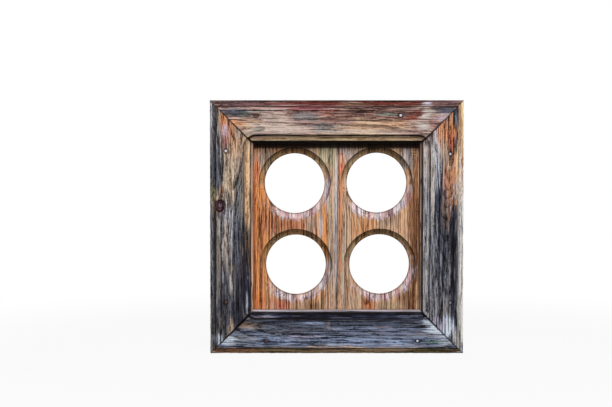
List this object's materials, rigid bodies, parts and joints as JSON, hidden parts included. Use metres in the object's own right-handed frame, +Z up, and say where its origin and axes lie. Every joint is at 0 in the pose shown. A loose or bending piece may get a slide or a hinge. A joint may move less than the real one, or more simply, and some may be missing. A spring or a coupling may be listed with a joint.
{
  "type": "wooden window",
  "caption": "Square weathered wooden window: mitred moulded casing on a rebated sub-frame, with a boarded panel pierced by round openings with coved rims.",
  "frame": {"origin": "middle of the sub-frame's underside, where the window stands on the sill of its wall opening", "axes": "+X to the right seen from the front, +Z up, and the front faces -Y"},
  "size_m": [0.6, 0.078, 0.6],
  "materials": {
    "casing_wood": "weathered, bare",
    "frame_wood": "weathered, sawn",
    "panel_wood": "weathered, bare",
    "bead_wood": "weathered, planed",
    "peg_wood": "aged end grain",
    "nail_steel": "rusted"
  },
  "bodies": {
    "root": {"casing_top": "casing_wood", "casing_bottom": "casing_wood", "casing_left": "casing_wood", "casing_right": "casing_wood", "frame_head": "frame_wood", "frame_sill": "frame_wood", "frame_jamb_left": "frame_wood", "frame_jamb_right": "frame_wood", "panel_board_left": "panel_wood", "panel_board_right": "panel_wood", "bead_top": "bead_wood", "bead_bottom": "bead_wood", "bead_left": "bead_wood", "bead_right": "bead_wood", "frame_pegs": "peg_wood", "casing_nails": "nail_steel", "bead_pins": "nail_steel"}
  },
  "joints": []
}
